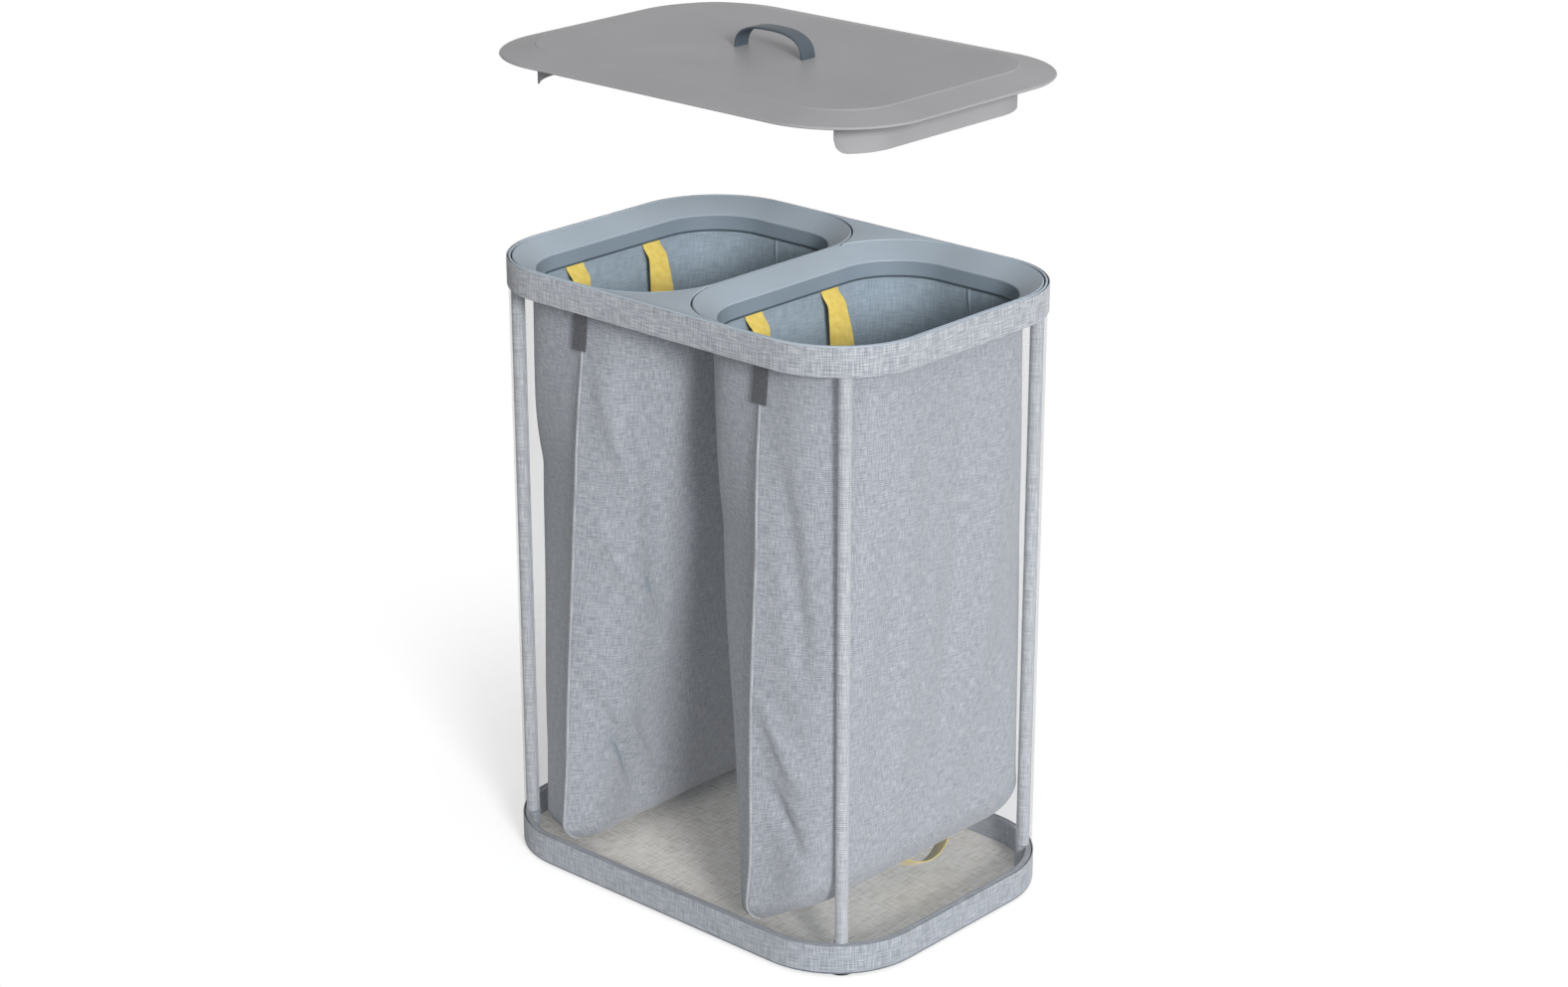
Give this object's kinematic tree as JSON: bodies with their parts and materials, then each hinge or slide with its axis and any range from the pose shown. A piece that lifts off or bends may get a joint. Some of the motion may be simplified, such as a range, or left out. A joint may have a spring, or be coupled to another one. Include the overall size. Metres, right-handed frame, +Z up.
{
  "type": "laundry hamper",
  "caption": "Standing laundry hamper with a sheer mesh wall, side by side lift-out fabric bags hung from plastic rims, and a lift-off lid held above them.",
  "frame": {"origin": "on the floor, under the middle of the hamper", "axes": "+Z up, +X towards the right bag, +Y to the back; the long front faces -Y"},
  "size_m": [0.542, 0.382, 0.9444],
  "materials": {
    "frame_plastic": "fine satin",
    "rim_plastic": "satin",
    "lid_plastic": "fine satin",
    "lid_handle_plastic": "matte",
    "band_fabric": "melange weave",
    "bag_fabric": "melange weave",
    "mesh_cloth": "sheer net",
    "piping": "smooth cord",
    "board_linen": "linen weave",
    "yellow_webbing": "ribbed webbing",
    "tag_fabric": "close weave",
    "foot_rubber": "matte",
    "steel_tube": "plain"
  },
  "bodies": {
    "frame": {"base_ring": "frame_plastic", "base_band": "band_fabric", "base_piping": "piping", "floor_board": "board_linen", "foot_front_left": "foot_rubber", "foot_front_right": "foot_rubber", "foot_back_left": "foot_rubber", "foot_back_right": "foot_rubber", "post_front_left": "steel_tube", "post_front_right": "steel_tube", "post_back_left": "steel_tube", "post_back_right": "steel_tube", "sleeve_front_left": "band_fabric", "sleeve_front_right": "band_fabric", "sleeve_back_left": "band_fabric", "sleeve_back_right": "band_fabric", "mesh_wall": "mesh_cloth", "top_ring": "frame_plastic", "top_band": "band_fabric", "edging_front": "frame_plastic", "edging_back": "frame_plastic", "edging_left": "frame_plastic", "edging_right": "frame_plastic", "edging_front_left": "frame_plastic", "edging_front_right": "frame_plastic", "edging_back_left": "frame_plastic", "edging_back_right": "frame_plastic", "filler_front_left": "frame_plastic", "filler_front_right": "frame_plastic", "filler_back_left": "frame_plastic", "filler_back_right": "frame_plastic"},
    "left_bag": {"left_bag_rim": "rim_plastic", "left_bag_body": "bag_fabric", "left_bag_handle_west": "yellow_webbing", "left_bag_handle_east": "yellow_webbing", "left_bag_grab_loop": "yellow_webbing", "left_bag_tag": "tag_fabric"},
    "right_bag": {"right_bag_rim": "rim_plastic", "right_bag_body": "bag_fabric", "right_bag_handle_west": "yellow_webbing", "right_bag_handle_east": "yellow_webbing", "right_bag_grab_loop": "yellow_webbing", "right_bag_tag": "tag_fabric"},
    "lid": {"lid_shell": "lid_plastic", "lid_skirt_left": "lid_plastic", "lid_skirt_right": "lid_plastic", "lid_handle": "lid_handle_plastic", "handle_keeper_left": "lid_plastic", "handle_keeper_right": "lid_plastic"}
  },
  "joints": [
    {"name": "left_bag_lift", "type": "slide", "parent": "frame", "child": "left_bag", "axis": [0, 0, 1], "range_m": [0, 0.67]},
    {"name": "right_bag_lift", "type": "slide", "parent": "left_bag", "child": "right_bag", "axis": [0, 0, 1], "range_m": [0, 0.67]},
    {"name": "lid_lift", "type": "slide", "parent": "right_bag", "child": "lid", "axis": [0, 0, 1], "range_m": [-0.2155, 0.1]}
  ]
}
